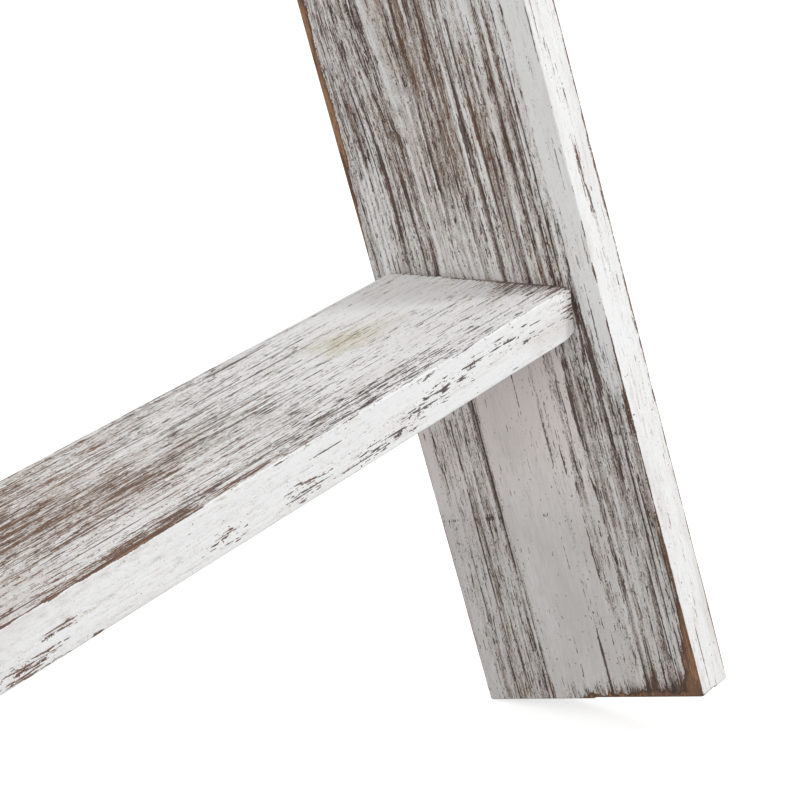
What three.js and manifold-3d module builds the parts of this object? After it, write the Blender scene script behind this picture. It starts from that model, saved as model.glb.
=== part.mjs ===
// A leaning ladder rack for quilts and blankets: two flat rails and five flat rungs, held by wood screws.
//
// Millimetres, +Z up. The rack stands as it is used, leaning back towards +Y until its rungs are level.
// +X runs along the rungs. The origin is on the floor, in the middle of the space that the rack takes up.
// Each rail is cut square at both ends, so it stands on the lower back edge of its foot.

import * as THREE from 'three';
import * as BufferGeometryUtils from 'three/addons/utils/BufferGeometryUtils.js';
import Module from 'manifold-3d';

const wasm = await Module();
wasm.setup();

// ---- driving dimensions -------------------------------------------------------------------------

const LEAN = THREE.MathUtils.degToRad(10.5); // from the vertical, with the rungs level

const RAIL_LENGTH = 1500;
const RAIL_WIDTH = 90; // front to back
const RAIL_THICKNESS = 17.2;
const RAIL_EASE = 0.8; // worn corners

const OVERALL_WIDTH = 450; // over both rails
const RUNG_COUNT = 5;
const FIRST_RUNG = 150; // from the foot, along the rail, to the rung's front top edge
const RUNG_PITCH = 300;
const RUNG_DEPTH = 72.1; // front to back
const RUNG_THICKNESS = 17.2;
const RUNG_SETBACK = 9.5; // the rung's front face is this far behind the rail's
const RUNG_EASE = 1.4; // rounding of the long edges
const RUNG_END_EASE = 2; // rounding of the ends

const SCREW_LENGTH = 45;
const SHANK_RADIUS = 2.1;
const TIP_LENGTH = 7;
const HEAD_RADIUS = 4.2;
const RECESS_SPAN = 4.6; // the cross-shaped drive recess, tip to tip
const RECESS_ARM = 1.1;
const RECESS_DEPTH = 1.5;
const SCREW_SPACING = 36; // between the two screws in a rung's end

const GAP = 0.3; // between neighbouring solids
const ROUND_SEGMENTS = 16;
const BEYOND = 1; // how far a cutting tool reaches past the surface that it cuts

// ---- finishes -----------------------------------------------------------------------------------

const railPaint = new THREE.MeshStandardMaterial({ color: 0xd6d3ce, roughness: 0.75, metalness: 0 });
const rungPaint = new THREE.MeshStandardMaterial({ color: 0xe0deda, roughness: 0.75, metalness: 0 });
const screwSteel = new THREE.MeshStandardMaterial({ color: 0x8f8f8c, roughness: 0.35, metalness: 1 });

// ---- joining and cutting ------------------------------------------------------------------------

function toSolid(geometry) {
  const bare = geometry.clone();
  bare.deleteAttribute('normal');
  bare.deleteAttribute('uv');
  const merged = BufferGeometryUtils.mergeVertices(bare, 1e-4);
  return new wasm.Manifold(new wasm.Mesh({
    numProp: 3,
    vertProperties: new Float32Array(merged.attributes.position.array),
    triVerts: new Uint32Array(merged.index.array),
  }));
}

function toGeometry(solid) {
  const mesh = solid.getMesh();
  const geometry = new THREE.BufferGeometry();
  geometry.setAttribute('position', new THREE.BufferAttribute(mesh.vertProperties, 3));
  geometry.setIndex(new THREE.BufferAttribute(mesh.triVerts, 1));
  geometry.computeVertexNormals();
  return geometry;
}

function cut(geometry, tools) {
  let solid = toSolid(geometry);
  for (const tool of tools) {
    solid = solid.subtract(toSolid(tool));
  }
  return toGeometry(solid);
}

// ---- shapes -------------------------------------------------------------------------------------

// A board along +Z from the origin, with its section in X and Y from the origin.
// Its four long edges are chamfered by ease and its ends are rounded by endEase.
function boardGeometry(thickness, width, length, ease, endEase, endSteps) {
  const outline = new THREE.Shape();
  outline.moveTo(ease, 0);
  outline.lineTo(thickness - ease, 0);
  outline.lineTo(thickness, ease);
  outline.lineTo(thickness, width - ease);
  outline.lineTo(thickness - ease, width);
  outline.lineTo(ease, width);
  outline.lineTo(0, width - ease);
  outline.lineTo(0, ease);
  const board = new THREE.ExtrudeGeometry(outline, {
    depth: length - 2 * endEase,
    steps: 1,
    bevelEnabled: true,
    bevelThickness: endEase,
    bevelSize: endEase,
    bevelOffset: -endEase,
    bevelSegments: endSteps,
  });
  board.translate(0, 0, endEase);
  return board;
}

// A countersunk screw: its head's face is at the origin and it points along -Z.
// grow moves its surface outwards, which makes the hole that it sits in.
function screwProfile(grow) {
  const shank = SHANK_RADIUS + grow;
  const head = HEAD_RADIUS + grow;
  const cone = HEAD_RADIUS - SHANK_RADIUS;
  const bottom = -(SCREW_LENGTH + 2 * grow);
  return [
    new THREE.Vector2(0, bottom),
    new THREE.Vector2(grow + 0.4, bottom),
    new THREE.Vector2(shank, bottom + TIP_LENGTH),
    new THREE.Vector2(shank, -cone),
    new THREE.Vector2(head, 0),
  ];
}

function turned(profile) {
  const shape = new THREE.LatheGeometry(profile, ROUND_SEGMENTS);
  shape.rotateX(Math.PI / 2); // the lathe's own axis is Y
  return shape;
}

function screwGeometry() {
  const profile = screwProfile(0);
  profile.push(new THREE.Vector2(0, 0));
  const arm = new THREE.BoxGeometry(RECESS_SPAN, RECESS_ARM, 2 * RECESS_DEPTH);
  const otherArm = arm.clone().rotateZ(Math.PI / 2);
  return cut(turned(profile), [arm, otherArm]);
}

// The room for a screw. It starts at the board's face, one gap above the head.
function screwHoleGeometry() {
  const profile = screwProfile(GAP);
  const mouth = HEAD_RADIUS + GAP;
  profile.push(new THREE.Vector2(mouth, GAP + BEYOND));
  profile.push(new THREE.Vector2(0, GAP + BEYOND));
  return turned(profile);
}

// ---- places -------------------------------------------------------------------------------------

// The ladder's own frame: X across, Y from the rails' front edge to their back edge, Z along the rails.
const innerWidth = OVERALL_WIDTH - 2 * RAIL_THICKNESS;
const rungLength = innerWidth - 2 * GAP;
const sides = { left: -1, right: 1 };
const screwRows = { front: (RUNG_DEPTH - SCREW_SPACING) / 2, back: (RUNG_DEPTH + SCREW_SPACING) / 2 };
const headFace = OVERALL_WIDTH / 2 - GAP; // how far a screw head's face is from the middle

// A rung's frame in the ladder's: its origin is on the front top edge, and it is turned back to level.
function rungFrame(index) {
  const frame = new THREE.Group();
  frame.position.set(0, RUNG_SETBACK, FIRST_RUNG + index * RUNG_PITCH);
  frame.rotation.x = LEAN;
  frame.updateMatrix();
  return frame;
}

// A screw's place in its rung's frame, with its head outwards.
function placeScrew(object, side, row) {
  object.position.set(sides[side] * headFace, screwRows[row], -RUNG_THICKNESS / 2);
  object.rotation.y = sides[side] * Math.PI / 2;
  object.updateMatrix();
}

function screwHole(side, row) {
  const place = new THREE.Object3D();
  placeScrew(place, side, row);
  return screwHoleGeometry().applyMatrix4(place.matrix);
}

// ---- sub-parts ----------------------------------------------------------------------------------

function makeRail(side) {
  const board = boardGeometry(RAIL_THICKNESS, RAIL_WIDTH, RAIL_LENGTH, RAIL_EASE, RAIL_EASE, 1);
  const inner = side === 'right' ? innerWidth / 2 : -innerWidth / 2 - RAIL_THICKNESS;
  board.translate(inner, 0, 0);
  const holes = [];
  for (let index = 0; index < RUNG_COUNT; index += 1) {
    for (const row of Object.keys(screwRows)) {
      holes.push(screwHole(side, row).applyMatrix4(rungFrame(index).matrix));
    }
  }
  const rail = new THREE.Mesh(cut(board, holes), railPaint);
  rail.name = `${side}_rail`;
  return rail;
}

function makeRung(index) {
  const board = boardGeometry(
    RUNG_THICKNESS, RUNG_DEPTH, rungLength, RUNG_EASE, RUNG_END_EASE, 2,
  );
  board.rotateY(Math.PI / 2); // the length along X, the thickness down from the top face
  board.translate(-rungLength / 2, 0, 0);
  const holes = [];
  for (const side of Object.keys(sides)) {
    for (const row of Object.keys(screwRows)) {
      holes.push(screwHole(side, row));
    }
  }
  const rung = new THREE.Mesh(cut(board, holes), rungPaint);
  rung.name = `rung_${index + 1}`;
  return rung;
}

function makeScrew(index, side, row) {
  const screw = new THREE.Mesh(screwGeometry(), screwSteel);
  screw.name = `screw_${index + 1}_${side}_${row}`;
  placeScrew(screw, side, row);
  return screw;
}

// ---- assembly -----------------------------------------------------------------------------------

function makeLadder() {
  const ladder = new THREE.Group();
  for (const side of Object.keys(sides)) {
    ladder.add(makeRail(side));
  }
  for (let index = 0; index < RUNG_COUNT; index += 1) {
    const frame = rungFrame(index);
    frame.add(makeRung(index));
    for (const side of Object.keys(sides)) {
      for (const row of Object.keys(screwRows)) {
        frame.add(makeScrew(index, side, row));
      }
    }
    ladder.add(frame);
  }
  return ladder;
}

// Leans the ladder back and stands the lower back edges of its feet on the floor.
function makeRack() {
  const ladder = makeLadder();
  ladder.rotation.x = -LEAN;
  const floorDepth = RAIL_WIDTH * Math.cos(LEAN) + RAIL_LENGTH * Math.sin(LEAN);
  ladder.position.set(0, -floorDepth / 2, RAIL_WIDTH * Math.sin(LEAN));
  const rack = new THREE.Group();
  rack.add(ladder);
  rack.updateMatrixWorld(true);
  return rack;
}

const group = makeRack();

export default group;
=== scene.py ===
"""A ladder rack for quilts, leaning as it is used: whitewashed boards, worn through along the grain.

Board sizes are in millimetres, as in the CAD model, and become metres when a mesh is made. A board's own
frame is (along, across, through): along the grain, across its width and through its thickness, counted
from one corner. The wear is worked out in that frame and kept on the mesh, where the materials read it.
"""

import math
from types import SimpleNamespace

import bpy
import numpy as np
from mathutils import Matrix, Vector


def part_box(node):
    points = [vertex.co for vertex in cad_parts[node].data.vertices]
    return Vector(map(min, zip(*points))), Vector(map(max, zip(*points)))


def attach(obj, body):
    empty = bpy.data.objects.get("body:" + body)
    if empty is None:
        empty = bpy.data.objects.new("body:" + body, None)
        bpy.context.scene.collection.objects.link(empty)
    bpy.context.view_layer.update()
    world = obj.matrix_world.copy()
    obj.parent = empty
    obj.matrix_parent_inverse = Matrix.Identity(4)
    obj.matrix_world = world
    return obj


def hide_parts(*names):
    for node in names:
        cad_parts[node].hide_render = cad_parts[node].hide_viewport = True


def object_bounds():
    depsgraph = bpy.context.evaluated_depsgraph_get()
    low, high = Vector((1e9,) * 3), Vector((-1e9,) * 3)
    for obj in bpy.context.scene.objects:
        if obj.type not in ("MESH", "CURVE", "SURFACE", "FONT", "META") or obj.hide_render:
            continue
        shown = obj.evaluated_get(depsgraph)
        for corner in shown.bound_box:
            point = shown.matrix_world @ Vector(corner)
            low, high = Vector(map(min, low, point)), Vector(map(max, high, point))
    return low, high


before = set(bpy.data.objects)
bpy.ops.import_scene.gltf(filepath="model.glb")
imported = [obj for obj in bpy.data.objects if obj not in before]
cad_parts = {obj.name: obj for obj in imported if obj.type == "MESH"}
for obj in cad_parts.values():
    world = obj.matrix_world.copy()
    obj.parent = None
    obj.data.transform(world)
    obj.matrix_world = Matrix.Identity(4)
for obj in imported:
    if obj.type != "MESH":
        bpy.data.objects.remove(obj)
cad_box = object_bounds()

MM = 0.001

# ---- driving dimensions, in millimetres ---------------------------------------------------------

LEAN = math.radians(10.5)  # of the rails from the vertical
RAIL = (1500.0, 90.0, 17.2)  # along, across, through
RUNG_COUNT = 5

RAIL_EASE = 0.5  # rounding of the long edges
RUNG_EASE = 0.6
END_EASE = {"rail": 0.8, "rung": 2.8}
END_EASE_REACH = 7.0  # an end's rounding fades into the long edges' over this length
SAWN_SHARE = 0.3  # the share of an end's rounding that shows end grain

SCREW_LENGTH = 45.0
SCREW_RADIUS = 2.1  # outside the thread
HEAD_RADIUS = 4.2
TIP_LENGTH = 7.0
TIP_RADIUS = 0.4
HOLE_GAP = 0.3  # between a screw and its hole
HOLE_MOUTH = 2.0  # how far a hole's cutter stands out of the board

# ---- where things are, in metres ----------------------------------------------------------------

ALONG_RAIL = Vector((0, math.sin(LEAN), math.cos(LEAN)))
ACROSS_RAIL = Vector((0, math.cos(LEAN), -math.sin(LEAN)))
RIGHT = Vector((1, 0, 0))
BACK = Vector((0, 1, 0))
UP = Vector((0, 0, 1))


# ---- noise --------------------------------------------------------------------------------------


def hashed(column, row, seed):
    """A fixed random number from 0 to 1 for each whole-number place."""
    with np.errstate(over="ignore"):
        n = column.astype(np.uint32) * np.uint32(374761393)
        n = n + row.astype(np.uint32) * np.uint32(668265263)
        n = n + np.uint32(seed * 2246822519 % 2**32)
        n = (n ^ (n >> np.uint32(13))) * np.uint32(1274126177)
        n = n ^ (n >> np.uint32(16))
    return n.astype(float) / 2**32


def cloud(x, y, seed):
    """Smooth noise from -1 to 1, with features one unit wide."""
    column, row = np.floor(x), np.floor(y)
    u, v = x - column, y - row
    u, v = u * u * (3 - 2 * u), v * v * (3 - 2 * v)
    column, row = column.astype(np.int64), row.astype(np.int64)
    low = hashed(column, row, seed) * (1 - u) + hashed(column + 1, row, seed) * u
    high = hashed(column, row + 1, seed) * (1 - u) + hashed(column + 1, row + 1, seed) * u
    return 2 * (low * (1 - v) + high * v) - 1


def clouds(x, y, seed, octaves=3):
    """Smooth noise with finer noise on it, from about -1 to 1."""
    total = np.zeros_like(x)
    for octave in range(octaves):
        total += cloud(x * 2**octave, y * 2**octave, seed + 31 * octave) / 2**octave
    return total / 1.4


def ease(x, start, stop):
    """Goes smoothly from 0 at start to 1 at stop, which may be below start."""
    t = np.clip((x - start) / (stop - start), 0, 1)
    return t * t * (3 - 2 * t)


def band(x, low, high, soft):
    """1 between low and high, and 0 outside, with soft sides."""
    return ease(x, low - soft, low + soft) * ease(x, high + soft, high - soft)


def mixed(first, second, share):
    """The first where share is 0, and the second where it is 1."""
    return first + share * (second - first)


def blob(x, y, centre, reach):
    """A soft spot: 1 at centre, fading out over reach."""
    return np.exp(-(((x - centre[0]) / reach[0]) ** 2) - ((y - centre[1]) / reach[1]) ** 2)


# ---- boards -------------------------------------------------------------------------------------


class Board:
    """One flat board: where it is, how big it is, and what its mesh and its noise start from."""

    def __init__(self, node, kind, corner, axes, size, fine, seed):
        self.node = node
        self.kind = kind
        self.corner = np.array(corner) / MM
        self.axes = np.array([list(axis) for axis in axes])
        self.size = np.array(size)
        self.fine = fine  # the stretch along the board with a finer mesh
        self.seed = seed
        self.long_ease = RAIL_EASE if kind == "rail" else RUNG_EASE

    def to_world(self, points):
        return (self.corner + points @ self.axes) * MM

    def to_board(self, points):
        return (points / MM - self.corner) @ self.axes.T

    def left_handed(self):
        return np.linalg.det(self.axes) < 0


EASED_STATIONS = (0, 0.15, 0.4, 0.7, 1.05, 1.5, 2.1, 2.9)  # rings close enough to round an edge
COARSE_STEP = {"rail": 12.0, "rung": 9.0}  # along the grain
FINE_STEP = 2.0  # along the grain, on a board's fine stretch
FINE_LENGTH = {"right_rail": 300.0, "rung_1": 330.0}  # of that stretch, up the rail or from the rung's end
SHOWN_RAIL_STEP = 0.7  # across the right rail
WIDTH_STEP = 1.0  # across any other board, and through all of them
SCRATCH = 69.6  # the height of a scratch across the right rail's inner face
SCRATCH_STATIONS = (-0.9, -0.4, 0, 0.4, 0.9)  # extra ones, to show it
SCRATCH_ROOM = 1.2  # no other stations are this near to it
LEAST_STEP = 0.1


def stations(length, step):
    """Places along one side of a board, closer together near both ends."""
    start = np.array(EASED_STATIONS)
    count = math.ceil((length - 2 * start[-1]) / step)
    middle = np.linspace(start[-1], length - start[-1], count + 1)
    return np.concatenate([start[:-1], middle, (length - start[:-1])[::-1]])


def long_stations(board):
    """Places along the grain, with finer steps on the board's fine stretch."""
    low, high = board.fine
    places = stations(board.size[0], COARSE_STEP[board.kind])
    detail = np.arange(low, high, FINE_STEP)
    keep = (places < low) | (places > high - FINE_STEP)
    start = np.array(EASED_STATIONS)
    ends = np.concatenate([start, board.size[0] - start])
    if board.node == "right_rail":
        scratch = SCRATCH + np.array(SCRATCH_STATIONS)
        detail = np.concatenate([detail[np.abs(detail - SCRATCH) > SCRATCH_ROOM], scratch])
    merged = np.unique(np.round(np.concatenate([places[keep], detail, ends]), 3))
    inside = (merged >= 0) & (merged <= board.size[0])
    crowded = np.append(np.diff(merged) < LEAST_STEP, False)
    return merged[inside & ~crowded]


def sheet_faces(sheet, flip):
    """The four-cornered faces between a grid of point numbers."""
    corners = [sheet[:-1, :-1], sheet[1:, :-1], sheet[1:, 1:], sheet[:-1, 1:]]
    faces = np.stack(corners, axis=-1).reshape(-1, 4)
    return faces[:, ::-1] if flip else faces


def box_surface(rows, columns, layers, left_handed):
    """The points and faces of a box's surface, gridded at the given places."""
    shape = (len(rows), len(columns), len(layers))
    surface = np.ones(shape, bool)
    surface[1:-1, 1:-1, 1:-1] = False
    number = np.full(shape, -1)
    number[surface] = np.arange(surface.sum())
    at = np.argwhere(surface)
    points = np.stack([rows[at[:, 0]], columns[at[:, 1]], layers[at[:, 2]]], axis=1)
    sides = [
        (number[0], True),
        (number[-1], False),
        (number[:, 0], False),
        (number[:, -1], True),
        (number[:, :, 0], True),
        (number[:, :, -1], False),
    ]
    faces = np.concatenate([sheet_faces(s, flip != left_handed) for s, flip in sides])
    return points, faces


def round_and_weather(board, points):
    """Rounds the box's edges, more where they are knocked, and sinks the grain a little."""
    along, across, through = points.T
    length, width, thickness = board.size
    to_end = np.minimum(along, length - along)
    edge = 2.0 * (across > width / 2) + (through > thickness / 2)
    knocks = clouds(along / 26, edge * 7.3, board.seed + 5, 4)
    radius = board.long_ease * (1 + 0.45 * knocks)
    radius += 1.2 * ease(knocks, 0.6, 1.0)
    end_ease = END_EASE[board.kind]
    radius += (end_ease - board.long_ease) * ease(to_end, END_EASE_REACH, 0)
    radius = np.clip(radius, 0.25, 3.2)[:, None]
    core = np.clip(points, radius, board.size - radius)
    out = points - core
    reach = np.linalg.norm(out, axis=1, keepdims=True)
    out /= np.maximum(reach, 1e-9)
    sunk = 0.10 + 0.07 * clouds(along / 160, across / 24 + through / 9, board.seed + 11, 2)
    sunk += 0.07 * clouds(along / 55, (across + through) / 1.7, board.seed + 12, 2)
    sunk = np.clip(sunk, 0, 0.3) * ease(to_end, 0, 2)
    return core + out * (radius - sunk[:, None])


# ---- wear placed one by one ---------------------------------------------------------------------

# The numbers in this section are rounded ones. They follow close crops of the faces that the photo
# shows, and those faces' mean brightness in strips 2 to 6 mm wide.
# Wear is counted in steps: -3 is whole paint, 0 is half worn through, 2 is nearly bare wood.
WHOLE = -3.2

# How far from the foot, or from the right-hand rail, the placed wear reaches, and where it starts to fade.
PLACED = {"right_rail": (330, 250), "rung_1": (330, 270)}
SKIN = 1.5  # points less deep than this belong to a face

# The right rail's inner face has strips of wear along the grain. Each strip is
# (from, to, wear above the lowest rung, wear below it), in millimetres from the front edge.
RAIL_STRIPS = (
    (0.0, 3.0, -3.2, 0.2),
    (3.0, 8.5, -3.2, -0.2),
    (8.5, 12.0, -2.6, 0.3),
    (12.0, 15.5, -1.4, -0.3),
    (15.5, 22.5, 0.2, -0.1),
    (22.5, 25.0, -0.7, -1.0),
    (25.0, 29.0, 0.0, -0.6),
    (29.0, 35.0, -0.1, -2.1),
    (35.0, 39.5, 0.0, -2.6),
    (39.5, 47.0, 0.1, -3.0),
    (47.0, 57.0, 0.2, -3.0),
    (57.0, 61.0, -0.8, -2.5),
    (61.0, 66.0, 0.0, -0.4),
    (66.0, 75.0, -0.5, -0.8),
    (75.0, 84.0, -0.9, -1.1),
    (84.0, 90.0, -0.6, -2.0),
)
STRIP_SOFTNESS = 0.8

# On the same face, narrow dark and light lines that run the whole way: (place, half width, wear).
RAIL_LINES = (
    (9.8, 0.9, 1.4),
    (8.2, 0.7, -1.4),
    (13.6, 0.7, 0.9),
    (16.6, 0.9, 1.2),
    (18.6, 0.8, -2.0),
    (20.8, 0.9, 1.5),
    (22.6, 0.7, -1.0),
    (24.4, 0.8, -1.3),
    (26.2, 0.9, 1.4),
    (31.0, 0.6, 0.7),
    (33.0, 0.7, -1.0),
    (35.9, 1.0, 1.7),
    (38.6, 0.9, -2.0),
    (43.5, 0.7, 0.8),
    (47.8, 0.8, -1.3),
    (52.0, 0.8, 0.9),
    (56.4, 0.7, -0.9),
    (60.2, 1.0, -1.5),
    (63.8, 1.1, 1.2),
    (70.6, 0.7, -1.0),
    (73.2, 0.8, 1.0),
    (79.6, 0.7, 0.8),
    (82.4, 0.7, -0.9),
)
CHANGE_OVER = 155.0  # the height of the lowest rung on the rail, where the strips change
CHANGE_REACH = 20.0  # above and below that

# Soft spots are (strength, centre, reach). Centre and reach count along the board first: up from the foot
# on the rail, and away from the right-hand rail on the rung. Then they count across it or through it.
RAIL_INNER_WEAR = (
    (-2.2, (250, 24), (22, 9)),  # thick paint, high in the front half
    (0.8, (222, 80), (26, 4)),
    (0.5, (225, 46), (32, 9)),
    (-0.7, (168, 52), (14, 12)),
    (-0.8, (172, 80), (16, 8)),
    (0.5, (258, 46), (26, 14)),
    (1.0, (14, 74), (16, 10)),
    (-1.0, (45, 12), (22, 8)),
    (-0.8, (135, 84), (18, 8)),
)
RUNG_TOP_WEAR = (
    (1.15, (235, 38), (55, 11)),
    (0.8, (225, 60), (45, 7)),
    (0.6, (150, 33), (50, 6)),
    (-1.2, (240, 12), (60, 6)),
    (-0.6, (90, 26), (40, 10)),
    (-0.9, (30, 55), (34, 18)),
    (0.7, (130, 69), (60, 4)),
    (1.4, (0, 14), (13, 17)),
)

# Spots of short dark dashes over the paint, in the same steps as the wear.
RAIL_INNER_FLECKS = (
    (0.9, (238, 24), (24, 9)),
    (0.8, (168, 10), (22, 4)),
    (0.3, (205, 13), (60, 4)),
    (1.3, (138, 7), (28, 4)),
)
RAIL_FRONT_FLECKS = (
    (3.8, (188, 7.5), (11, 1.3)),
    (3.2, (173, 8.5), (8, 1.4)),
    (2.4, (155, 9.0), (4, 0.8)),
    (2.4, (228, 5.2), (6, 0.9)),
    (1.0, (205, 9.0), (42, 6.0)),
)
RUNG_TOP_FLECKS = (
    (1.3, (105, 3.0), (60, 1.3)),
    (0.8, (105, 8.0), (55, 5.0)),
    (-0.9, (30, 58), (34, 18)),
    (0.4, (235, 38), (55, 11)),
    (1.3, (222, 3.0), (24, 2.5)),
    (0.45, (64, 47), (14, 7)),
    (1.4, (0, 14), (10, 16)),
)
RUNG_FRONT_FLECKS = (
    (3.2, (98, 12.0), (13, 2.8)),
    (3.0, (77, 7.8), (20, 2.6)),
    (2.2, (46, 5.0), (24, 2.0)),
    (3.2, (119, 13.4), (11, 2.2)),
    (3.0, (154, 12.5), (11, 3.0)),
    (2.4, (192, 12.0), (14, 2.6)),
    (3.2, (276, 14.5), (17, 2.8)),
    (2.4, (262, 9.5), (7, 1.5)),
    (3.2, (88, 1.8), (9, 0.9)),
    (1.8, (30, 9.0), (22, 2.4)),
    (2.6, (0, 6.0), (7, 7.0)),
)
RUNG_TOP_BASE = 0.86  # dashes all over the rung's top
MOST_FLECKS = {"rail": 2.5, "rung": 2.45}  # on the fronts

# Chips down to bare wood on the two fronts.
RAIL_CHIPS = (
    (0.75, (189, 7.6), (10, 0.6)),
    (0.75, (175, 8.7), (6, 0.6)),
    (0.75, (154, 9.2), (3, 0.5)),
    (0.75, (228, 5.2), (4, 0.4)),
)
RUNG_CHIPS = (
    (0.75, (277, 14.3), (3.5, 0.8)),
    (0.75, (268, 14.7), (3, 0.6)),
    (0.75, (263, 9.8), (2, 0.6)),
    (0.75, (257, 8.4), (1.8, 0.5)),
    (0.75, (247, 16.5), (3, 0.6)),
    (0.75, (193, 12.2), (2, 0.6)),
)


def placed_share(board, along):
    """1 where a board's wear is placed one by one, fading to 0 beyond."""
    if board.node not in PLACED:
        return np.zeros_like(along)
    from_rung_end = board.size[0] - along
    return ease(along if board.kind == "rail" else from_rung_end, *PLACED[board.node])


def spots(table, x, y):
    """The sum of soft spots."""
    total = np.zeros_like(x)
    for strength, centre, reach in table:
        total += strength * blob(x, y, centre, reach)
    return total


def strips(across, along):
    upper = np.zeros_like(across)
    lower = np.zeros_like(across)
    for low, high, above, below in RAIL_STRIPS:
        share = band(across, low, high, STRIP_SOFTNESS)
        upper += above * share
        lower += below * share
    change = CHANGE_OVER - 40 * ease(across, 10, 6)  # the white front strip reaches lower
    return mixed(lower, upper, ease(along, change - CHANGE_REACH, change + CHANGE_REACH))


def long_lines(across, along):
    total = np.zeros_like(across)
    for place, half, strength in RAIL_LINES:
        drift = 0.3 * cloud(along / 90, 0 * along + place, 401)
        fading = 0.95 + 0.45 * cloud(along / 35, 0 * along + place, 402)
        total += strength * fading * ease(np.abs(across + drift - place), half, 0.2 * half)
    return total * (0.6 + 0.4 * ease(along, 120, 170))


def rail_inner_wear(board, points):
    """Wear on the right rail's inner face, by where each point is in the bent grain."""
    along, across = points[:, 0], points[:, 1]
    bent = across + grain_bend(board, points)
    wear = strips(bent, along) + long_lines(bent, along) + spots(RAIL_INNER_WEAR, along, across)
    scuff = np.maximum(9 + 7 * clouds(across / 3.1, 0 * across, 64, 3), 1)
    wear += 3.2 * ease(along, scuff, 0.2 * scuff) * ease(across, 64, 46)  # the foot is scuffed
    return wear + 0.30 * clouds(along / 30, across / 7, 77, 3)


def rung_top_wear(along, across, length):
    """Wear on the lowest rung's top. It grows away from the right-hand rail."""
    to_rail = length - along
    wear = -2.35 + 0.9 * ease(to_rail, 60, 170) + 0.6 * ease(to_rail, 170, 250)
    wear += spots(RUNG_TOP_WEAR, to_rail, across)
    ragged = 3.6 + 2.6 * clouds(to_rail / 9, 0 * across, 58, 4)
    ragged *= 0.45 + 0.95 * ease(to_rail, 245, 205)
    worn_edge = ease(to_rail, 196, 204) * ease(to_rail, 265, 232)
    wear += 2.2 * worn_edge * ease(across, 1.2 * ragged, 0.5 * ragged)
    return wear + 0.40 * clouds(along / 60, across / 4.5, 91, 3)


def rail_inner_flecks(along, across):
    """Dashes over the white paint on the right rail's inner face, and the scratch across it."""
    back_strip = band(across, 64, 87, 3) * (0.10 + 0.40 * ease(along, 150, 175))
    scratch = ease(np.abs(along - SCRATCH), 0.9, 0.2) * ease(across, 36, 44)
    scratch *= 0.8 + 0.8 * cloud(across / 4.5, 0 * along, 83)
    return back_strip + spots(RAIL_INNER_FLECKS, along, across) + 1.3 * scratch


def rail_front_flecks(along, through):
    return np.minimum(spots(RAIL_FRONT_FLECKS, along, through), MOST_FLECKS["rail"])


# Dashes over the lowest rung's top, with a painted crevice shade along its joint with the rail.
def rung_top_flecks_and_joint_shade(to_rail, across):
    dirt_and_crevice_shade = 3.0 * ease(to_rail, 4.0, 2.6)  # where the rung meets the rail: dark dashes for dirt and a painted crevice shade
    return RUNG_TOP_BASE + spots(RUNG_TOP_FLECKS, to_rail, across) + dirt_and_crevice_shade


def rung_front_flecks(to_rail, through):
    """Clusters of dashes low on the rung's front, and fine ones along its top edge."""
    flecks = spots(RUNG_FRONT_FLECKS, to_rail, through)
    flecks += 1.5 * ease(through, 2.0, 0.2) * ease(to_rail, 190, 150)
    return np.minimum(flecks, MOST_FLECKS["rung"])


# ---- wear on every board ------------------------------------------------------------------------

WEAR_LEVEL = {"rail": -0.5, "rung": -1.1}  # of the wide faces
MOST_WEAR = 1.3  # on a face whose wear isn't placed by hand
LEAST_RUB = 0.2  # how far rub must reach from an edge, in millimetres, to show


def rail_edge_rub(rub, along, back, far, ragged):
    """Changes the rub to what the photo shows on the right rail."""
    on_wide, on_narrow, strength = rub
    back_inner = (0.5 + 2.3 * ease(along, 160, 215)) * ragged
    front_inner = 0.3 + 0.3 * ease(along, 176, 160) + 0.35 * ease(along, 134, 100)
    front_inner += 1.4 * ease(along, 56, 20) + 3.0 * ease(along, 24, 0)
    front_inner *= ragged**2
    front_outer = (0.9 + 0.6 * blob(along, 0 * along, (150, 0), (80, 1))) * ragged
    shown = along < 290  # past it, the rub is left as it was
    on_wide = np.where(shown & ~far, np.where(back, back_inner, front_inner), on_wide)
    on_narrow = np.where(shown & ~back, np.where(far, front_outer, 0.35 * ragged), on_narrow)
    strength = np.where(shown & back & ~far, 1.0, strength)
    strength = np.where(shown & ~back, 0.6 + 0.4 * ease(along, 70, 10), strength)
    return on_wide, on_narrow, strength


def rung_edge_rub(rub, to_rail, back, far, ragged):
    """Changes the rub to what the photo shows on the lowest rung."""
    on_wide, on_narrow, strength = rub
    shown = to_rail < 320
    painted = shown & (back != far)
    on_wide = np.where(painted, LEAST_RUB, on_wide)
    on_narrow = np.where(painted, LEAST_RUB, on_narrow)
    front_top = shown & ~back & ~far
    worn = 0.25 + 0.55 * ease(to_rail, 196, 204) + 0.5 * ease(to_rail, 22, 6)
    worn *= ragged**1.5
    on_wide = np.where(front_top, worn, on_wide)
    on_narrow = np.where(front_top, 0.8 * worn, on_narrow)
    strength = np.where(front_top, 0.72 + 0.2 * ease(to_rail, 22, 6), strength)
    return on_wide, on_narrow, strength


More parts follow.
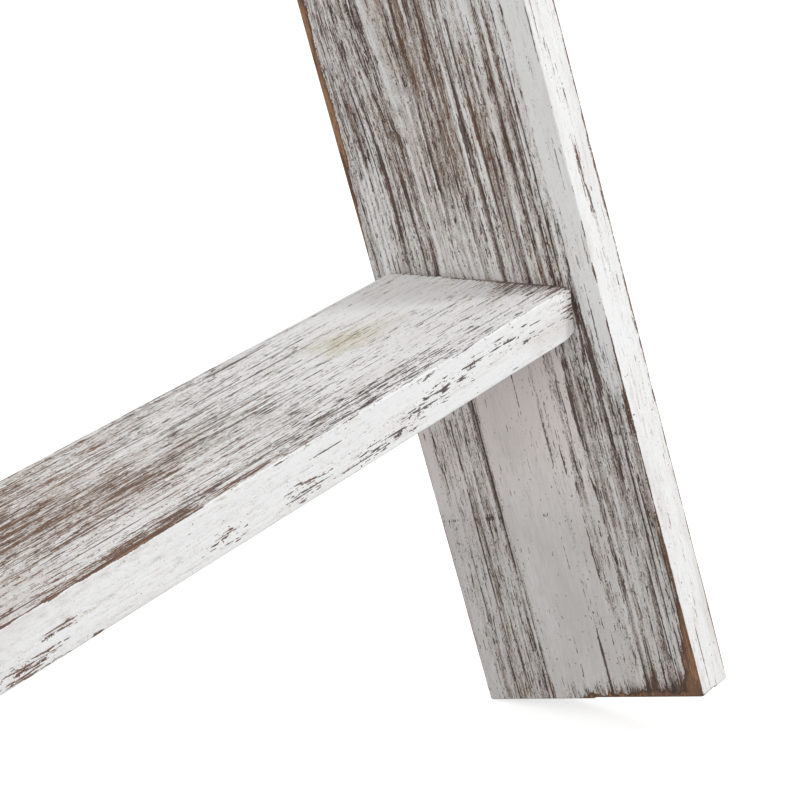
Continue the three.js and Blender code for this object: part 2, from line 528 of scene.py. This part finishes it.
def edge_rub(board, along, across, through):
    """Paint rubbed off the long edges, from 0 to 1. At 1 the wood is fresh, and below that dark."""
    length, width, thickness = board.size
    back, far = across > width / 2, through > thickness / 2
    number = 2.0 * back + far
    patches = clouds(along / 75, number * 5.1, board.seed + 8, 4)
    ragged = 1 + 0.4 * clouds(along / 9, number * 3.7, 55, 4)
    reach = 0.4 + 1.5 * ease(patches, 0.0, 0.8)
    rub = (reach, reach, 0.75 + 0.25 * patches)  # on the wide face, on the narrow one, and how strong
    if board.node == "right_rail":
        rub = rail_edge_rub(rub, along, back, far, ragged)
    if board.node == "rung_1":
        rub = rung_edge_rub(rub, length - along, back, far, ragged)
    on_wide, on_narrow, strength = rub
    from_edge = np.maximum(
        np.minimum(across, width - across) / on_wide,
        np.minimum(through, thickness - through) / on_narrow,
    )
    showing = ease(np.maximum(on_wide, on_narrow), LEAST_RUB, 0.6)
    return strength * ease(from_edge, 1.3, 0.6) * showing


def end_rub(board, points):
    """Bare wood along the edges of the ends."""
    along, across, through = points.T
    if board.node == "right_rail":
        height = 1.4 + 2.2 * ease(across, 46, 6) + 1.6 * clouds(across / 2.4, along / 30, 61, 4)
        height = np.maximum(height, 0.4)
        worn = ease(along, height * 1.4, height * 0.5) * ease(across, 60, 42)
        return worn * ease(through, 1.5, 0.3) * ease(across, 0.2, 0.8)
    to_end = np.minimum(along, board.size[0] - along)
    ragged = 1 + 0.6 * clouds((across + through) / 3.0, along / 40, board.seed + 62, 3)
    return ease(to_end, 2.2 * ragged, 0.9 * ragged)


def chips_of(board, along, across, through):
    """Small patches of bare wood on the fronts of the right rail and the lowest rung, from 0 to 1."""
    chips = np.zeros_like(along)
    if board.node == "right_rail":
        chips = spots(RAIL_CHIPS, along, through)
    if board.node == "rung_1":
        chips = spots(RUNG_CHIPS, board.size[0] - along, through)
    return chips * ease(across, 1.4, 0.8)


def wide_face_wear(along, across, seed, level):
    """Wear on a wide face: strips of every width, with thick paint between them."""
    wear = level + 1.2 * clouds(across / 15, along / 300, seed + 1, 2)
    wear += 0.85 * cloud(across / 2.9, along / 420, seed + 2)
    wear += 0.60 * clouds(along / 70, across / 22, seed + 3, 3)
    wear -= 2.0 * ease(clouds(across / 11, along / 240, seed + 6, 2), 0.35, 0.75)
    return np.clip(wear, WHOLE, MOST_WEAR)


def wear_of(board, points):
    """Wear in steps, dark dashes in the same steps, and rubbed edges from 0 to 1, at each point. On the
    lowest rung's top the dashes also paint a crevice shade where it meets the rail.
    """
    along, across, through = points.T
    length, width, thickness = board.size
    on_wide = ease(np.minimum(across, width - across), 0.1, 1.0)
    near, front = through < thickness / 2, across < width / 2
    wide = wide_face_wear(along, across, board.seed + 40 * near, WEAR_LEVEL[board.kind])
    wide_flecks = np.zeros_like(along)
    patches = clouds(along / 52, through / 6 + 9.0 * front, board.seed + 4, 3)
    narrow_flecks = 1.9 * ease(patches, 0.2, 0.9)
    placed = placed_share(board, along)
    if board.node == "right_rail":
        wide = mixed(wide, rail_inner_wear(board, points), near * placed)
        wide_flecks = near * placed * rail_inner_flecks(along, across)
        narrow_flecks = mixed(narrow_flecks, rail_front_flecks(along, through), front * placed)
    if board.node == "rung_1":
        to_rail = length - along
        wide = mixed(wide, rung_top_wear(along, across, length), near * placed)
        wide_flecks = near * placed * rung_top_flecks_and_joint_shade(to_rail, across)
        narrow_flecks = mixed(narrow_flecks, rung_front_flecks(to_rail, through), front * placed)
    wear = mixed(WHOLE, wide, on_wide)
    flecks = mixed(narrow_flecks, wide_flecks, on_wide)
    rub = np.maximum(edge_rub(board, along, across, through), end_rub(board, points))
    return wear, flecks, np.maximum(rub, chips_of(board, along, across, through))


def stain_of(board, points):
    """Where sap has yellowed the paint."""
    along, across, through = points.T
    if board.node == "rung_1":
        to_rail = board.size[0] - along
        stain = blob(to_rail, across, (69, 44), (21, 11))
        stain += 0.3 * blob(to_rail, across, (12, 60), (20, 18))
        return stain * (through < 4)
    return 0.7 * ease(clouds(along / 60, across / 18, board.seed + 21, 2), 0.72, 1.0)


def grime_and_shading_of(board, points):
    """Where the paint is dull and thin, from 0 to 1. Random patches are grime; the placed dulling on the
    right rail's inner face is painted shade and painted light.
    """
    along, across, through = points.T
    grime = 0.75 * ease(clouds(along / 110, across / 30, board.seed + 23, 3), 0.1, 0.9)
    placed = placed_share(board, along)
    if board.node == "right_rail":
        # Below the lowest rung the inner face is dulled, a painted shade that grows towards the foot; just
        # under the rung the dulling is eased off, a painted light against the rung's shadow.
        on_inner = ease(along, 150, 122) * (0.92 - 0.66 * band(along, 74, 160, 14))
        on_inner += 0.25 * blob(along, across, (168, 56), (16, 14))
        on_inner += 0.30 * blob(along, across, (98, 49), (10, 6))
        on_front = 0.28 + 0.25 * ease(along, 60, 0) + 0.14 * ease(along, 140, 170)
        inner = placed * (through < SKIN) * ease(across, 0.2, 1.2)
        front = placed * (across < SKIN) * (1 - inner)
        grime = mixed(mixed(grime, on_inner, inner), on_front, front)
    if board.node == "rung_1":
        to_rail = board.size[0] - along
        # The rung is darker away from the right-hand rail, on its top and below it.
        on_top = 0.5 * ease(to_rail, 120, 260) * (through < SKIN)
        below = 0.45 * ease(to_rail, 60, 300) * (through >= SKIN)
        grime = mixed(grime, on_top, placed) + below * placed
    return grime


def blush_of(board, points):
    """Where the paint has a pink tint."""
    along, across, through = points.T
    blush = 0.6 * ease(clouds(along / 90, across / 30, board.seed + 27, 2), 0.2, 0.9)
    under_rung = 0.0
    if board.node == "right_rail":
        under_rung = ease(along, 30, 115) * ease(along, 160, 145) * ease(across, 11, 26)
        under_rung = under_rung * (through < SKIN)
    return mixed(blush, under_rung, placed_share(board, along))


def warmth_of(board, points):
    """How reddish the wood under the paint is, from 0 to 1."""
    along, across, through = points.T
    warmth = 0.25 + 0.45 * clouds(along / 60, across / 16, board.seed + 25, 3)
    placed = placed_share(board, along)
    if board.node == "right_rail":
        front = placed * (across < SKIN)
        inner = (through < SKIN) * (1 - front)
        lower = inner * ease(along, 170, 130)
        warmth = mixed(warmth, 1.15, front)
        warmth -= 0.6 * lower * warmth
        warmth += 0.45 * inner * ease(along, 175, 205) * band(across, 14, 62, 8)
        warmth += 0.6 * lower * ease(along, 18, 4)
    if board.node == "rung_1":
        to_rail = board.size[0] - along
        shown = 1.1 * ease(to_rail, 130, 220) + 0.8 * ease(to_rail, 16, 2)
        shown += 0.5 * ease(to_rail, 125, 160) * (across < SKIN)
        warmth += placed * (shown - 0.6 * warmth)
    return warmth


# ---- the grain ----------------------------------------------------------------------------------

NARROW_GRAIN = {"rail": 1.0, "rung": 0.85}  # the rungs' narrow faces have coarser grain
SEED_SHIFT = 17.0  # how far along the grain one board's pattern is from the next seed's


def grain_bend(board, points):
    """How far the grain strays across the board at each point."""
    along, across, _ = points.T
    bend = 0.9 * clouds(along / 260, across / 60, board.seed + 14, 2)
    bend += 0.12 * cloud(along / 40, across / 12, board.seed + 15)
    if board.node == "right_rail":
        bend -= 5.0 * ease(along, 190, 270) * band(across, 58, 84, 8)
        bend += 1.6 * blob(along, across, (168, 58), (9, 7)) * np.tanh((across - 58) / 3)
    return bend


def grain_of(board, points):
    """Grain coordinates in millimetres."""
    grain = points.copy()
    along, _, through = points.T
    grain[:, 0] += SEED_SHIFT * board.seed
    grain[:, 1] += grain_bend(board, points)
    grain[:, 2] += 0.4 * cloud(along / 60, through / 9, board.seed + 16)
    grain[:, 2] *= NARROW_GRAIN[board.kind]
    return grain


# ---- materials ----------------------------------------------------------------------------------


class Shader:
    """Short names for building a node tree."""

    def __init__(self, name):
        self.material = bpy.data.materials.new(name)
        self.material.use_nodes = True
        self.tree = self.material.node_tree
        self.bsdf = self.tree.nodes["Principled BSDF"]

    def give(self, socket, value):
        if isinstance(value, bpy.types.NodeSocket):
            self.tree.links.new(value, socket)
        else:
            socket.default_value = value

    def node(self, kind, **settings):
        made = self.tree.nodes.new(kind)
        for key, value in settings.items():
            setattr(made, key, value)
        return made

    def attribute(self, name, vector=False):
        made = self.node("ShaderNodeAttribute", attribute_name=name)
        return made.outputs["Vector" if vector else "Fac"]

    def math(self, operation, first, second=0.0, third=0.0):
        made = self.node("ShaderNodeMath", operation=operation)
        for socket, value in zip(made.inputs, (first, second, third)):
            self.give(socket, value)
        return made.outputs[0]

    def total(self, *terms):
        """Adds up (value, weight) pairs."""
        value, weight = terms[0]
        result = self.math("MULTIPLY", value, weight)
        for value, weight in terms[1:]:
            result = self.math("MULTIPLY_ADD", value, weight, result)
        return result

    def stretched(self, vector, by):
        made = self.node("ShaderNodeVectorMath", operation="MULTIPLY")
        self.give(made.inputs[0], vector)
        self.give(made.inputs[1], by)
        return made.outputs[0]

    def noise(self, vector, stretch, detail=1, roughness=0.5):
        """Noise with a mean of 0 and a spread of 1."""
        made = self.node("ShaderNodeTexNoise")
        self.give(made.inputs["Vector"], self.stretched(vector, stretch))
        self.give(made.inputs["Scale"], 1.0)
        self.give(made.inputs["Detail"], float(detail))
        self.give(made.inputs["Roughness"], roughness)
        sizes = [roughness**octave for octave in range(detail + 1)]
        spread = NOISE_SPREAD * math.hypot(*sizes) / sum(sizes)
        centred = self.math("SUBTRACT", made.outputs["Fac"], 0.5)
        return self.math("DIVIDE", centred, spread)

    def between(self, value, low, high, out_low=0.0, out_high=1.0):
        made = self.node("ShaderNodeMapRange", interpolation_type="SMOOTHSTEP")
        for socket, given in zip(made.inputs, (value, low, high, out_low, out_high)):
            self.give(socket, given)
        return made.outputs[0]

    def mix(self, share, first, second):
        made = self.node("ShaderNodeMix", data_type="RGBA")
        self.give(made.inputs[0], share)
        self.give(made.inputs[6], first)
        self.give(made.inputs[7], second)
        return made.outputs[2]

    def ramp(self, value, stops):
        """A colour by value, from (value, colour) stops."""
        low, high = stops[0][0], stops[-1][0]
        made = self.node("ShaderNodeValToRGB")
        place = self.math("DIVIDE", self.math("SUBTRACT", value, low), high - low)
        self.give(made.inputs[0], place)
        elements = made.color_ramp.elements
        while len(elements) < len(stops):
            elements.new(0.5)
        for element, (at, colour) in zip(elements, stops):
            element.position = (at - low) / (high - low)
            element.color = (*colour, 1)
        return made.outputs[0]

    def bump(self, height, distance, strength):
        made = self.node("ShaderNodeBump")
        self.give(made.inputs["Height"], height)
        self.give(made.inputs["Distance"], distance)
        self.give(made.inputs["Strength"], strength)
        self.give(self.bsdf.inputs["Normal"], made.outputs[0])


NOISE_SPREAD = 0.125  # of one octave of Blender's noise

# Whitewash by wear: white paint, thin paint over wood, stained wood, and the dark of the grain.
PAINT_STOPS = (
    (-3.5, (0.825, 0.825, 0.825)),
    (-2.6, (0.79, 0.785, 0.78)),
    (-1.6, (0.69, 0.665, 0.645)),
    (-0.6, (0.54, 0.505, 0.48)),
    (0.2, (0.41, 0.37, 0.345)),
    (1.0, (0.29, 0.245, 0.225)),
    (2.0, (0.19, 0.152, 0.138)),
    (3.2, (0.12, 0.09, 0.08)),
)
DASH = (0.066, 0.044, 0.040, 1)  # the dark marks on the paint
RED_DASH = (0.145, 0.070, 0.038, 1)  # the same, where the wood is reddish
TAN = (0.34, 0.235, 0.16, 1)  # worn reddish wood
RUBBED_WOOD = (0.37, 0.20, 0.105, 1)  # freshly rubbed edges
RUBBED_DARK = (0.130, 0.068, 0.042, 1)  # edges rubbed long ago
SAP = (0.60, 0.55, 0.42, 1)
ROSY = (0.64, 0.57, 0.54, 1)  # thin paint over reddish wood, in patches
# dull paint: grime, and painted shade on the right rail's inner face
GRIME_AND_SHADING = (0.62, 0.585, 0.565, 1)
BLUSH = (0.85, 0.775, 0.75, 1)  # pink in thick paint
SAWN = (0.52, 0.47, 0.43, 1)  # thin paint on the end grain
ZINC_DARK = (0.50, 0.49, 0.46, 1)
ZINC_LIGHT = (0.66, 0.66, 0.64, 1)

WEAR_LAYERS = ("wear", "flecks", "rub", "stain", "grime", "warmth", "blush")  # kept on each board's mesh

# Noise in the wood and the paint: (scale along the grain, scale across it, octaves of finer noise).
WOOD_NOISES = {
    "lines": (0.008, 0.70, 1),
    "streaks": (0.048, 0.58, 2),
    "strokes": (0.24, 1.25, 1),
    "speckle": (1.5, 2.5, 1),
    "ridges": (0.014, 1.1, 0),
    "dashes": (0.12, 1.60, 1),
    "pits": (0.55, 2.1, 1),
    "cracks": (0.018, 1.1, 0),
    "dots": (0.9, 1.3, 0),
    "patches": (0.020, 0.08, 2),
    "red": (0.015, 0.25, 1),
}


def wood_layers(s):
    """By name: what a board's mesh keeps for each point, and the noises along its grain."""
    grain = s.attribute("grain", vector=True)
    layers = {name: s.attribute(name) for name in WEAR_LAYERS}
    for name, (along, across, detail) in WOOD_NOISES.items():
        layers[name] = s.noise(grain, (along, across, across), detail)
    return SimpleNamespace(**layers)


def paint_wear(s, w):
    """How far the paint has worn through, in steps."""
    field = s.total(
        (w.wear, 1.0), (w.lines, 0.28), (w.streaks, 0.38), (w.strokes, 0.38), (w.speckle, 0.42)
    )
    return s.total((field, 1.0), (s.between(w.ridges, 0.8, 1.3), -1.5))


def dark_marks(s, w):
    """Dashes, pits, dots and long cracks in the paint, from 0 to 1."""
    density = s.total((w.wear, 0.5), (w.flecks, 1.0), (w.streaks, 0.30))
    dash = s.between(s.total((density, 1.0), (w.dashes, 1.0), (w.pits, 0.2)), 1.40, 1.58)
    pit = s.between(s.total((density, 1.05), (w.flecks, -0.4), (w.pits, 1.0)), 1.45, 1.65)
    dot = s.between(s.total((density, 0.25), (w.dots, 1.0)), 2.15, 2.45)
    short = s.math("MAXIMUM", s.math("MAXIMUM", dash, pit), dot)
    inked = s.between(s.total((w.speckle, 0.6), (w.dashes, 0.4)), -1.6, 0.8, 0.50, 0.97)
    split = s.total(
        (w.wear, 0.4), (w.flecks, 0.55), (w.streaks, 0.24), (w.cracks, 1.0), (w.pits, 0.15)
    )
    crack = s.between(split, 1.46, 1.62)
    return s.math("MAXIMUM", s.math("MULTIPLY", short, inked), s.math("MULTIPLY", crack, 0.90))


def paint_colour(s, w, field, reddish):
    """The paint, with its tints and the wood that shows through it."""
    colour = s.ramp(field, PAINT_STOPS)
    colour = s.mix(s.between(w.patches, 0.4, 2.4, 0.0, 0.35), colour, ROSY)
    thick = s.between(field, -2.4, 0.2, 1.0, 0.0)
    colour = s.mix(s.math("MULTIPLY", w.blush, thick), colour, BLUSH)
    # dulled paint: grime, and painted shade and light on the right rail's inner face
    dull = s.total((w.grime, 0.72), (w.patches, 0.08), (w.strokes, 0.05), (w.speckle, 0.03))
    colour = s.mix(s.math("MULTIPLY", s.between(dull, 0.0, 1.0), thick), colour, GRIME_AND_SHADING)
    blotchy = s.total((w.stain, 1.0), (w.strokes, 0.10), (w.streaks, 0.12))
    colour = s.mix(s.between(blotchy, 0.15, 1.1, 0.0, 0.8), colour, SAP)
    thin = s.between(field, -1.2, 0.8, 0.0, 0.6)
    return s.mix(s.math("MULTIPLY", s.between(reddish, 0.3, 1.6), thin), colour, TAN)


def rubbed_colour(s, w, dark):
    """Bare wood, fresher where it is rubbed more."""
    fresh = s.total((w.rub, 1.0), (w.streaks, 0.10), (w.strokes, 0.06))
    colour = s.mix(s.between(fresh, 0.65, 1.1), RUBBED_DARK, RUBBED_WOOD)
    return s.mix(s.math("MULTIPLY", dark, 0.6), colour, DASH)


def whitewash():
    """Thin white paint over brown wood, worn through in streaks along the grain."""
    s = Shader("whitewashed_wood")
    w = wood_layers(s)
    field = paint_wear(s, w)
    dark = dark_marks(s, w)
    reddish = s.total((w.warmth, 1.0), (w.red, 0.25), (w.streaks, 0.12))
    mark_redness = s.between(s.total((reddish, 1.0), (w.pits, 0.35)), 0.4, 1.4)
    marked = s.mix(dark, paint_colour(s, w, field, reddish), s.mix(mark_redness, DASH, RED_DASH))
    bare = s.between(s.total((w.rub, 2.0), (w.speckle, 0.12), (w.strokes, 0.16)), 0.6, 1.1)
    s.give(s.bsdf.inputs["Base Color"], s.mix(bare, marked, rubbed_colour(s, w, dark)))
    s.give(s.bsdf.inputs["Roughness"], s.between(field, -3.0, 1.5, 0.62, 0.85))
    s.give(s.bsdf.inputs["Specular IOR Level"], 0.35)
    relief = s.total((w.speckle, 0.25), (field, -0.30), (dark, -1.0), (bare, -1.0))
    s.bump(relief, 0.00006, 0.8)
    return s.material


def end_grain():
    """A sawn end: growth rings under thin paint."""
    s = Shader("end_grain")
    grain = s.attribute("grain", vector=True)
    warp = s.noise(grain, (0.0, 0.05, 0.05), 2)
    rings = s.node("ShaderNodeTexWave", wave_type="RINGS", rings_direction="X")
    s.give(rings.inputs["Vector"], s.stretched(grain, (0.0, 0.16, 0.9)))
    s.give(rings.inputs["Scale"], 0.8)
    s.give(rings.inputs["Distortion"], 1.5)
    s.give(rings.inputs["Detail"], 2.0)
    ring = rings.outputs["Fac"]
    pores = s.noise(grain, (1.5, 1.5, 1.5), 3, 0.6)
    wood = s.mix(ring, RUBBED_WOOD, RUBBED_DARK)
    cover = s.total((warp, 0.7), (pores, 0.6))
    colour = s.mix(s.between(cover, -0.6, 0.9), SAWN, wood)
    s.give(s.bsdf.inputs["Base Color"], colour)
    s.give(s.bsdf.inputs["Roughness"], s.between(pores, -2.0, 2.0, 0.78, 0.92))
    s.bump(s.total((ring, 1.0), (pores, 0.2)), 0.00015, 0.6)
    return s.material


def zinc():
    """Dull plated steel, a little blotched."""
    s = Shader("zinc_steel")
    place = s.node("ShaderNodeTexCoord").outputs["Object"]
    blotches = s.noise(place, (900.0, 900.0, 900.0), 3, 0.6)
    colour = s.mix(s.between(blotches, -1.5, 1.5), ZINC_DARK, ZINC_LIGHT)
    s.give(s.bsdf.inputs["Base Color"], colour)
    s.give(s.bsdf.inputs["Metallic"], 1.0)
    s.give(s.bsdf.inputs["Roughness"], s.between(blotches, -2.0, 2.0, 0.32, 0.48))
    s.bump(blotches, 0.000005, 0.5)
    return s.material


# ---- screws -------------------------------------------------------------------------------------

ROUND = 32  # points round a screw


def turned(name, profile):
    """A solid turned about Z from (radius, height) points, its first and last on the axis."""
    points, faces = [], []
    rings = []
    for radius, height in profile:
        if radius == 0:
            rings.append([len(points)] * ROUND)
            points.append((0, 0, height))
            continue
        rings.append([len(points) + k for k in range(ROUND)])
        for k in range(ROUND):
            angle = 2 * math.pi * k / ROUND
            points.append((radius * math.cos(angle), radius * math.sin(angle), height))
    for low, high in zip(rings, rings[1:]):
        for k in range(ROUND):
            corners = [low[k], low[(k + 1) % ROUND], high[(k + 1) % ROUND], high[k]]
            faces.append(list(dict.fromkeys(corners)))
    mesh = bpy.data.meshes.new(name)
    mesh.from_pydata([[v * MM for v in p] for p in points], [], faces)
    mesh.update()
    return mesh


def combined(name, meshes):
    """One mesh with all the given ones' bodies, each placed by its matrix."""
    points, faces = [], []
    for mesh, matrix in meshes:
        first = len(points)
        points += [matrix @ v.co for v in mesh.vertices]
        faces += [[first + i for i in p.vertices] for p in mesh.polygons]
    made = bpy.data.meshes.new(name)
    made.from_pydata(points, [], faces)
    made.update()
    return made


def cut(target, tool_mesh):
    """Cuts a mesh's bodies out of an object."""
    tool = bpy.data.objects.new("tool", tool_mesh)
    bpy.context.scene.collection.objects.link(tool)
    modifier = target.modifiers.new("cut", "BOOLEAN")
    modifier.operation = "DIFFERENCE"
    modifier.solver = "MANIFOLD"
    modifier.object = tool
    graph = bpy.context.evaluated_depsgraph_get()
    result = bpy.data.meshes.new_from_object(target.evaluated_get(graph), depsgraph=graph)
    target.modifiers.clear()
    target.data = result
    bpy.data.objects.remove(tool)


def screw_hole_mesh():
    """The room for a screw, from above the board's face down to the screw's tip."""
    bottom = -SCREW_LENGTH - 2 * HOLE_GAP
    shank = SCREW_RADIUS + HOLE_GAP
    mouth = HEAD_RADIUS + HOLE_GAP
    profile = [
        (0, bottom),
        (TIP_RADIUS + HOLE_GAP, bottom),
        (shank, bottom + TIP_LENGTH),
        (shank, SCREW_RADIUS - HEAD_RADIUS),
        (mouth, 0),
        (mouth, HOLE_MOUTH),
        (0, HOLE_MOUTH),
    ]
    return turned("screw_hole", profile)


def screw_frame(node):
    """A screw's frame from its CAD node: its head's face at the origin, pointing along -Z."""
    low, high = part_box(node)
    middle = (low + high) / 2
    outwards = 1 if middle.x > 0 else -1
    head = Vector((high.x if outwards > 0 else low.x, middle.y, middle.z))
    return Matrix.Translation(head) @ Matrix.Rotation(outwards * math.pi / 2, 4, "Y")


# ---- making the pieces --------------------------------------------------------------------------


def set_attribute(mesh, name, values):
    kind = "FLOAT_VECTOR" if values.ndim == 2 else "FLOAT"
    made = mesh.attributes.new(name, kind, "POINT")
    field = "vector" if values.ndim == 2 else "value"
    made.data.foreach_set(field, values.astype(np.float32).ravel())


def board_places(board, items, field):
    """Where a mesh's points or faces are, in the board's frame."""
    flat = np.empty(len(items) * 3, np.float32)
    items.foreach_get(field, flat)
    return board.to_board(flat.reshape(-1, 3).astype(float))


def board_mesh(board):
    rows = long_stations(board)
    columns = stations(board.size[1], SHOWN_RAIL_STEP if board.node == "right_rail" else WIDTH_STEP)
    layers = stations(board.size[2], WIDTH_STEP)
    points, faces = box_surface(rows, columns, layers, board.left_handed())
    points = round_and_weather(board, points)
    mesh = bpy.data.meshes.new(board.node + "_wood")
    mesh.from_pydata(board.to_world(points).tolist(), [], faces.tolist())
    mesh.update()
    return mesh


def keep_wear(board, mesh):
    """Stores everything that the wood's material reads."""
    points = board_places(board, mesh.vertices, "co")
    wear, flecks, rub = wear_of(board, points)
    values = {
        "grain": grain_of(board, points),
        "wear": wear,
        "flecks": flecks,
        "rub": rub,
        "stain": stain_of(board, points),
        "grime": grime_and_shading_of(board, points),
        "warmth": warmth_of(board, points),
        "blush": blush_of(board, points),
    }
    for name, value in values.items():
        set_attribute(mesh, name, value)


def finish_faces(board, mesh, materials):
    """Gives a board's faces their materials, the second one on its sawn ends."""
    mesh.materials.clear()
    for material in materials:
        mesh.materials.append(material)
    along = board_places(board, mesh.polygons, "center")[:, 0]
    margin = SAWN_SHARE * END_EASE[board.kind]
    sawn = (along < margin) | (along > board.size[0] - margin)
    mesh.polygons.foreach_set("material_index", sawn.astype(np.int32))
    mesh.polygons.foreach_set("use_smooth", np.ones(len(sawn), bool))
    mesh.update()


def make_board(board, holes, materials):
    piece = bpy.data.objects.new(board.node + "_wood", board_mesh(board))
    bpy.context.scene.collection.objects.link(piece)
    cut(piece, holes)
    piece.data.name = piece.name
    keep_wear(board, piece.data)
    finish_faces(board, piece.data, materials)
    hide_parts(board.node)
    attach(piece, "root")


def rail_corner(side):
    """The front bottom corner of a rail's inner face."""
    low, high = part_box(f"{side}_rail")
    inner_x = low.x if side == "right" else high.x
    return Vector((inner_x, cad_box[0].y, RAIL[1] * MM * math.sin(LEAN)))


def rail_board(side, seed):
    node = f"{side}_rail"
    fine = (0, FINE_LENGTH.get(node, 0))
    axes = (ALONG_RAIL, ACROSS_RAIL, RIGHT if side == "right" else -RIGHT)
    return Board(node, "rail", rail_corner(side), axes, RAIL, fine, seed)


def rung_board(number, seed):
    node = f"rung_{number}"
    low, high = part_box(node)
    size = (high - low) / MM
    corner = Vector((low.x, low.y, high.z))
    fine = (size.x - FINE_LENGTH[node], size.x) if node in FINE_LENGTH else (0, 0)
    return Board(node, "rung", corner, (RIGHT, BACK, -UP), tuple(size), fine, seed)


def holds(screw, board):
    """Whether a screw, by its name, goes into a board."""
    _, number, side, _ = screw.split("_")
    return board.node in (f"{side}_rail", f"rung_{number}")


RAIL_SEEDS = {"left": 300, "right": 700}
FIRST_RUNG_SEED = 110
RUNG_SEED_STEP = 130


def make_rack():
    wood, ends, steel = whitewash(), end_grain(), zinc()
    hole = screw_hole_mesh()
    names = [n for n in sorted(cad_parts) if n.startswith("screw_")]
    boards = [rail_board(side, seed) for side, seed in RAIL_SEEDS.items()]
    boards += [rung_board(n + 1, FIRST_RUNG_SEED + RUNG_SEED_STEP * n) for n in range(RUNG_COUNT)]
    for board in boards:
        own = [n for n in names if holds(n, board)]
        holes = combined("holes", [(hole, screw_frame(n)) for n in own])
        make_board(board, holes, (wood, ends))
    for name in names:
        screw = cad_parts[name]
        screw.data.materials.clear()
        screw.data.materials.append(steel)


make_rack()

# ---- camera, floor and light --------------------------------------------------------------------

# The camera looks at the right rail's foot and the lowest rung. Its place is in metres from the front
# bottom corner of the right rail's inner face. Its place and its turn were fitted to the boards' edges.
CAMERA_FROM_FOOT = Vector((-0.6881, -0.3917, 0.3955))
CAMERA_HEADING = math.radians(36.25)  # from +X towards +Y
CAMERA_PITCH = math.radians(-19.27)
CAMERA_ROLL = math.radians(-6.93)
CAMERA_LENS = 115.0

# Each light is (azimuth to the right of straight in front, height, distance, size, power).
KEY_LIGHT = (math.radians(35), math.radians(25), 2.0, 0.30, 14.8)
KEY_COLOUR = (0.985, 0.995, 1.0)
FILL_LIGHT = (math.radians(-50), math.radians(30), 2.8, 2.2, 19.3)
FILL_COLOUR = (1.0, 1.0, 1.0)
LIGHT_AIM = Vector((0.1, -0.1, 0.3))
SKY = 0.78  # the world's light on the rack, where 1 is the white that the camera sees

FLOOR_REACH = 30.0
FLOOR_COLOUR = (0.51, 0.51, 0.51, 1)
FLOOR_GLOW = 0.70  # only towards the camera, so that the floor is nearly white


def make_camera():
    data = bpy.data.cameras.new("camera")
    data.lens = CAMERA_LENS
    data.clip_start = 0.01
    camera = bpy.data.objects.new("camera", data)
    bpy.context.scene.collection.objects.link(camera)
    turn = Matrix.Rotation(CAMERA_HEADING - math.pi / 2, 4, "Z")
    turn = turn @ Matrix.Rotation(math.pi / 2 + CAMERA_PITCH, 4, "X")
    turn = turn @ Matrix.Rotation(CAMERA_ROLL, 4, "Z")
    camera.matrix_world = Matrix.Translation(rail_corner("right") + CAMERA_FROM_FOOT) @ turn
    bpy.context.scene.camera = camera


def area_light(name, light, colour):
    azimuth, height, distance, size, power = light
    flat = math.cos(height)
    towards = Vector((math.sin(azimuth) * flat, -math.cos(azimuth) * flat, math.sin(height)))
    data = bpy.data.lights.new(name, "AREA")
    data.size = size
    data.energy = power
    data.color = colour
    made = bpy.data.objects.new(name, data)
    bpy.context.scene.collection.objects.link(made)
    made.location = LIGHT_AIM + towards * distance
    made.rotation_euler = (-towards).to_track_quat("-Z", "Y").to_euler()


def make_floor():
    s = Shader("floor")
    path = s.node("ShaderNodeLightPath")
    s.give(s.bsdf.inputs["Base Color"], FLOOR_COLOUR)
    s.give(s.bsdf.inputs["Roughness"], 0.9)
    s.give(s.bsdf.inputs["Specular IOR Level"], 0.1)
    s.give(s.bsdf.inputs["Emission Color"], (1, 1, 1, 1))
    glow = s.math("MULTIPLY", path.outputs["Is Camera Ray"], FLOOR_GLOW)
    s.give(s.bsdf.inputs["Emission Strength"], glow)
    corners = [(x * FLOOR_REACH, y * FLOOR_REACH, 0) for x, y in ((-1, -1), (1, -1), (1, 1), (-1, 1))]
    mesh = bpy.data.meshes.new("floor")
    mesh.from_pydata(corners, [], [(0, 1, 2, 3)])
    mesh.materials.append(s.material)
    floor = bpy.data.objects.new("floor", mesh)
    bpy.context.scene.collection.objects.link(floor)


def make_light():
    area_light("key", KEY_LIGHT, KEY_COLOUR)
    area_light("fill", FILL_LIGHT, FILL_COLOUR)
    world = bpy.data.worlds.new("world")
    bpy.context.scene.world = world
    world.use_nodes = True
    tree = world.node_tree
    background = tree.nodes["Background"]
    background.inputs["Color"].default_value = (1, 1, 1, 1)
    path = tree.nodes.new("ShaderNodeLightPath")
    strength = tree.nodes.new("ShaderNodeMapRange")
    strength.inputs["To Min"].default_value = SKY
    strength.inputs["To Max"].default_value = 1.0
    tree.links.new(path.outputs["Is Camera Ray"], strength.inputs["Value"])
    tree.links.new(strength.outputs[0], background.inputs["Strength"])
    bpy.context.scene.view_settings.view_transform = "Standard"


make_camera()
make_floor()
make_light()
